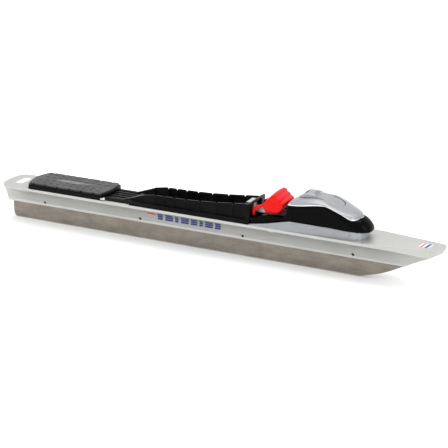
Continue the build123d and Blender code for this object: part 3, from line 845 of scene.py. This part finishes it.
def coverEdge(x):
    for before, after in zip(hullRings, hullRings[1:]):
        if x <= after[0]:
            share = max(x - before[0], 0.0) / (after[0] - before[0])
            return before[4] + (after[4] - before[4]) * share
    return hullRings[-1][4]


def coverPoint(ring, turn):
    x, _, _, edgeHalf, edgeHeight, crest = ring
    rise = max(crest - edgeHeight - cover["shelf"], cover["leastRise"])
    arch = rise * math.sin(turn) ** cover["roundness"]
    return place(x, edgeHalf * math.cos(turn), edgeHeight + cover["shelf"] + arch)


def buildCover():
    rings, turns = cover["rings"], cover["turns"]
    start = cover["arcStart"]
    loops = []
    for index in range(rings + 1):
        ring = ringAt(cover["lastRing"] * index / rings)
        x, edgeHalf, edgeHeight = ring[0], ring[3], ring[4]
        rim = min(1.0, edgeHalf / cover["fullRim"])
        right = []
        for out, fullOut, up, fullUp in cover["roll"]:
            right.append(place(x, edgeHalf + out + fullOut * rim, edgeHeight + up + fullUp * rim))
        arc = [coverPoint(ring, start + (math.pi - 2 * start) * step / turns) for step in range(turns + 1)]
        left = [Vector((point.x, -point.y, point.z)) for point in reversed(right)]
        loops.append(right + arc + left)
    points = [point for loop in loops for point in loop]
    shell = newObject("latchCover", points, gridFaces(len(loops), len(loops[0])))
    outwards(shell)
    for finish in ("silver", "rim"):
        shell.data.materials.append(finishes[finish])
    # faces within rimTop of the cover's edge take the light rim finish, a painted highlight along the edge
    for face in shell.data.polygons:
        x, height = face.center.x / mm, (face.center.z - deckZ) / mm
        face.material_index = 1 if height - coverEdge(x) < cover["rimTop"] else 0
    centre = sum(vertex.co.z for vertex in shell.data.vertices) / len(shell.data.vertices)
    roof = [face for face in shell.data.polygons if face.center.z > centre]
    if 2 * sum(1 for face in roof if face.normal.z > 0) < len(roof):
        shell.data.flip_normals()  # the open sheet has to face up before it gets its thickness
    skin = shell.modifiers.new("wall", "SOLIDIFY")
    skin.thickness = cover["wall"] * mm
    skin.offset = -1.0
    applied(shell)
    hole = slabUp("buttonHole", buttonPlan(cover["gap"]), 14.0, 60.0)
    carved(shell, [hole])
    softened(shell, 0.22, 2, 34)
    return seat(shell, "silver", "skate", "silver_plastic", "top_cover", angle=42, trim="rim")


def buttonHalf(x):
    past = (x - button["roundFrom"]) / (button["front"] - button["roundFrom"])
    return button["half"] * math.sqrt(max(1 - max(past, 0.0) ** button["roundPower"], 0.0))


def buttonPlan(gap):
    rear, bend, steps = button["line"][0][0], button["roundFrom"], button["roundSteps"]
    reach, quarter = button["front"] - bend, math.pi / 2
    places = [rear - gap * 2, *button["straights"]]
    places += [bend + reach * math.sin(quarter * step / steps) for step in range(steps + 1)]
    half = [(x + (gap if x > bend else 0.0), buttonHalf(x) + gap) for x in places]
    return half + [(x, -y) for x, y in reversed(half)]


def buttonTop(x, y):
    height = through([(h,) for _, h in button["line"]], buttonSpan(x))[0] - button["crown"] * y * y
    wall = button["wallX"] + button["wallBow"] * y * y
    scoop = ease(wall, wall + button["wallRun"], x) * (1 - (abs(y) / button["scoopHalf"]) ** 4)
    scoop *= 1 - ease(wall + button["wallFoot"], button["scoopFront"], x)
    return height - button["scoop"] * scoop


def buttonSpan(x):
    line = button["line"]
    for index, ((x0, _), (x1, _)) in enumerate(zip(line, line[1:])):
        if x <= x1:
            return index + (x - x0) / (x1 - x0)
    return len(line) - 1.0


def buildButton():
    lengths, widths = button["lengths"], button["widths"]
    start, end = button["line"][0][0], button["front"] - 0.02
    loops = []
    for index in range(lengths + 1):
        x = start + (end - start) * math.sin(math.pi / 2 * index / lengths)
        half = max(buttonHalf(x), button["leastHalf"])
        ring = []
        for step in range(widths + 1):
            y = half * math.sin(math.pi * (step / widths - 0.5))
            rounding = button["edgeDrop"] * (abs(y) / half) ** button["edgePower"]
            ring.append(place(x, y, buttonTop(x, y) - rounding))
        foot = buttonTop(x, half) - button["deep"]
        inner = half - min(button["skirt"], half * 0.4)
        ring += [place(x, y, foot) for y in (half, inner, -inner, -half)]
        loops.append(ring)
    body = cappedTube("pressButton", loops)
    pocket = slabAcross("poleSlotRoom", button["slot"], button["slotHalf"], button["slotY"])
    carved(body, [pocket])
    softened(body, 0.3, 2, 40)
    seat(body, "silver", "button", "silver_plastic", "release_button", angle=40)
    # painted shade: a near-black sheet closes the floor of the pole slot
    slotShadeSheet = slabAcross("poleSlotShade", button["slotShadeSheet"], button["slotShadeHalf"], button["slotY"])
    seat(slotShadeSheet, "dark", "button", "pin_steel")
    for side in (-1, 1):
        hand = "Left" if side > 0 else "Right"
        arm = slabAcross(f"buttonArm{hand}", button["arm"], button["armHalf"], side * button["armY"])
        softened(arm, 0.4, 2, 40)
        seat(arm, "silver", "button", "silver_plastic")
        cam = slabAcross(f"buttonCam{hand}", button["cam"], button["camHalf"], side * button["camY"])
        seat(cam, "black", "button", "silver_plastic")


buildHousing()
buildTail()
buildCover()
buildButton()
print("housing ready")


# rubber bumper and its hooks

bumper = {
    "half": 15.0, "arch": 0.8, "radius": 3.05, "ribs": ((76.5, 29.7), (80.6, 26.0), (84.6, 22.2)),
    "turns": ((142, 2), (88, 2), (88, -32)), "edge": 2.2, "turnSteps": 12, "stations": 34, "edgeShrink": 0.15,
    "liftFrom": 12.8, "liftTo": 20.0,
    "foot": ((84.0, 15.8), (81.6, 13.6), (79.0, 12.85), (70.0, 12.85), (67.2, 13.8), (65.6, 16.4), (65.1, 18.6),
             (65.2, 21.4), (68.4, 25.2), (71.4, 28.8)),
}


def bumperOutline():
    outline = []
    for (x, h), (first, last) in zip(bumper["ribs"], bumper["turns"]):
        for step in range(bumper["turnSteps"] + 1):
            turn = math.radians(first + (last - first) * step / bumper["turnSteps"])
            outline.append((x + bumper["radius"] * math.cos(turn), h + bumper["radius"] * math.sin(turn)))
    return outline + list(bumper["foot"])


def buildBumper():
    outline = bumperOutline()
    middleX = sum(x for x, _ in outline) / len(outline)
    middleH = sum(h for _, h in outline) / len(outline)
    loops = []
    for step in range(bumper["stations"] + 1):
        share = math.sin((-1 + 2 * step / bumper["stations"]) * math.pi / 2)
        y = bumper["half"] * share
        lift = bumper["arch"] * (1 - share * share)
        inner = max(abs(y) - (bumper["half"] - bumper["edge"]), 0.0) / bumper["edge"]
        shrink = 1 - bumper["edgeShrink"] * (1 - math.sqrt(max(1 - inner ** 2, 0.0)))
        ring = []
        for x, h in outline:
            rise = lift * ease(bumper["liftFrom"], bumper["liftTo"], h)
            ring.append(place(middleX + (x - middleX) * shrink, y, middleH + (h - middleH) * shrink + rise))
        loops.append(ring)
    piece = cappedTube("toeBumper", loops)
    softened(piece, 0.5, 3, 42)
    return seat(piece, "red", "bumper", "red_rubber", "flexor", angle=60)


buildBumper()
seat(refined("flexor_hooks", "bumperHooks", 0.6, 3), "red", "bumper", "red_rubber", "flexor_hooks", angle=60)


# steel pieces and small parts keep their own solids

carried = {
    "blade_pins": "dark", "heel_lock": "zinc", "heel_lock_pin": "dark", "button_pin": "dark",
    "toe_bar_seat": "zinc", "latch_jaw": "zinc",
    "seat_rivets": "dark", "platform_screws": "zinc", "ridge_screws": "dark", "track_screws": "zinc",
    "front_screw": "zinc", "heel_sticker": "heelLabel", "toe_sticker": "toeLabel",
}
for node, finish in carried.items():
    mesh = nodes[node].data
    if not mesh.materials:
        mesh.materials.append(finishes[finish])
    for index in range(len(mesh.materials)):
        mesh.materials[index] = finishes[finish]


# both springs are copied from their own solids; the share they would shorten by as the button goes down is
# worked out but not applied
springs = {"jawTravel": 5.3, "buttonTurn": 7.0, "pivot": 144.0, "slack": 0.3}


def buildSpring(node, name, axis, travel):
    piece = bpy.data.objects.new(name, nodes[node].data.copy())
    scene.collection.objects.link(piece)
    seat(piece, "spring", "skate", "spring_steel", node, angle=50)
    low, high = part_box(node)
    length = sum((high[index] - low[index]) * axis[index] for index in range(3)) / mm
    1 - (travel + springs["slack"]) / length
    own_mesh(piece)


def buildSprings():
    low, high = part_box("button_spring")
    reach = springs["pivot"] - (low[0] + high[0]) / 2 / mm
    drop = reach * math.sin(math.radians(springs["buttonTurn"]))
    buildSpring("latch_spring", "latchSpring", (1, 0, 0), springs["jawTravel"])
    buildSpring("button_spring", "buttonSpring", (0, 0, 1), drop)


buildSprings()
print("small parts ready")


# floor, light and camera

studio = {
    "floor": 4.0, "sky": 1.15, "skyTone": (1.0, 1.0, 1.0),
    # name, position, target, size and power
    "softboxes": (
        ("overheadSoftbox", (0.1, 0.25, 1.5), (0.0, 0.0, 0.0), (1.6, 1.0), 14.0),
        ("leftSoftbox", (-1.2, -0.9, 0.9), (0.0, 0.0, 0.05), (0.8, 0.8), 8.0),
        ("toeSoftbox", (1.3, -0.3, 0.7), (0.12, 0.0, 0.06), (0.25, 0.8), 4.0),
    ),
}


def buildFloor():
    reach = studio["floor"]
    corners = [(-reach, -reach, 0), (reach, -reach, 0), (reach, reach, 0), (-reach, reach, 0)]
    floor = newObject("studioFloor", corners, [(0, 1, 2, 3)])
    material, shader, shade = newFinish("paleFloor", {"Specular IOR Level": 0.1})
    paper = shade.where().grain(3.0, 3.0)
    feed(shader, {
        "Base Color": paper.tint((0.90, 0.90, 0.90), (0.93, 0.93, 0.93)),
        "Roughness": paper * 0.1 + 0.8,
    })
    floor.data.materials.append(material)


def softbox(name, position, target, size, power):
    lamp = bpy.data.lights.new(name, "AREA")
    lamp.shape = "RECTANGLE"
    lamp.size, lamp.size_y = size
    lamp.energy = power
    holder = bpy.data.objects.new(name, lamp)
    scene.collection.objects.link(holder)
    holder.location = position
    holder.rotation_euler = (Vector(target) - Vector(position)).to_track_quat("-Z", "Y").to_euler()


def buildLight():
    world = bpy.data.worlds.new("studioSky")
    scene.world = world
    world.use_nodes = True
    sky = world.node_tree.nodes["Background"]
    sky.inputs[0].default_value = (*studio["skyTone"], 1.0)
    sky.inputs[1].default_value = studio["sky"]
    for settings in studio["softboxes"]:
        softbox(*settings)


viewpoint = {"target": (0.01544, 0.0, 0.03042), "distance": 1.3224, "azimuth": 25.705, "elevation": 19.543,
             "roll": 0.269, "lens": 102.75}


def buildCamera():
    azimuth = math.radians(viewpoint["azimuth"])
    elevation = math.radians(viewpoint["elevation"])
    roll = math.radians(viewpoint["roll"])
    back = Vector((math.sin(azimuth) * math.cos(elevation), -math.cos(azimuth) * math.cos(elevation),
                   math.sin(elevation)))
    level = Vector((math.cos(azimuth), math.sin(azimuth), 0.0))
    upright = back.cross(level)
    right = level * math.cos(roll) + upright * math.sin(roll)
    up = upright * math.cos(roll) - level * math.sin(roll)
    lens = bpy.data.cameras.new("catalogueCamera")
    lens.lens = viewpoint["lens"]
    lens.sensor_width = 36.0
    lens.clip_start = 0.01
    holder = bpy.data.objects.new("catalogueCamera", lens)
    scene.collection.objects.link(holder)
    turned = Matrix((right, up, back)).transposed().to_4x4()
    turned.translation = Vector(viewpoint["target"]) + back * viewpoint["distance"]
    holder.matrix_world = turned
    scene.camera = holder


buildFloor()
buildLight()
buildCamera()
scene.view_settings.view_transform = "Standard"
print("studio ready")
